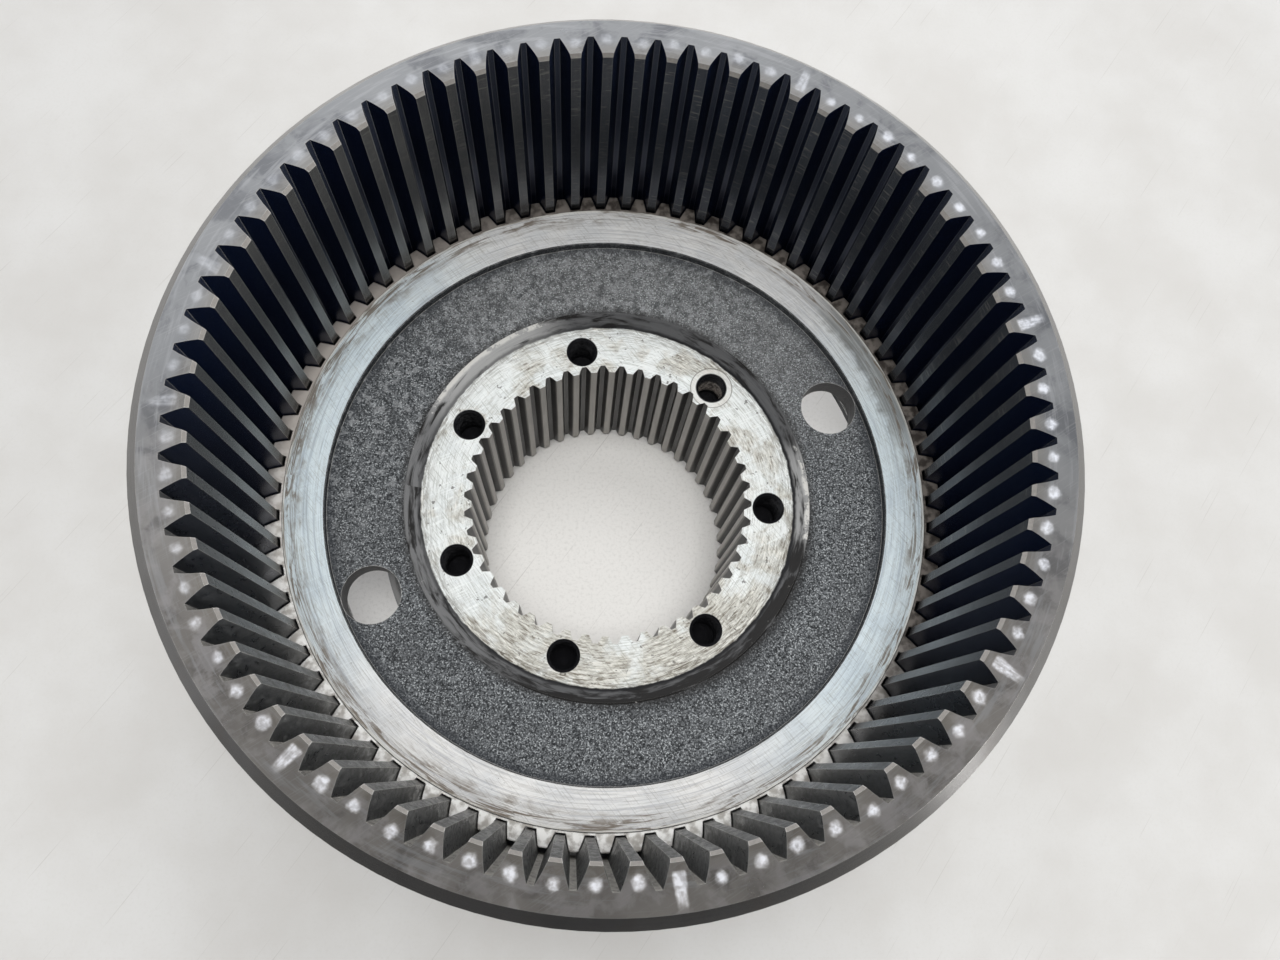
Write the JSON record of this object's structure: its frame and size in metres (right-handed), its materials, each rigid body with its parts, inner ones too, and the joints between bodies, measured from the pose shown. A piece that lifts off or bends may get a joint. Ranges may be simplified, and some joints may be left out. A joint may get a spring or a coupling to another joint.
{
  "type": "planetary ring gear and hub",
  "caption": "Internal ring gear carried on the teeth of a splined, webbed hub, held endways by a hidden lock ring; the outer ring of a planetary wheel-end drive.",
  "frame": {"origin": "centre of the lower end of the hub, on the surface the assembly stands on", "axes": "+Z is the gear axis, towards the open toothed end; +X passes through the middle of a tooth space of the ring gear"},
  "size_m": [0.38, 0.3798, 0.241],
  "materials": {
    "ring_steel": "ground end face, dark oiled tooth flanks",
    "hub_casting": "sand-cast web, turned band and bolting face",
    "spring_steel": "dark spring steel"
  },
  "bodies": {
    "hub": {"ring_gear_hub": "hub_casting"},
    "lock_ring": {"retaining_ring": "spring_steel"},
    "annulus": {"ring_gear": "ring_steel"}
  },
  "joints": [
    {"name": "axial_float", "type": "slide", "parent": "hub", "child": "lock_ring", "axis": [0, 0, 1], "range_m": [0, 0.00025]},
    {"name": "tooth_backlash", "type": "hinge", "parent": "lock_ring", "child": "annulus", "pos_m": [0, 0, 0.1585], "axis": [0, 0, 1], "range_deg": [-0.15, 0.15]}
  ]
}
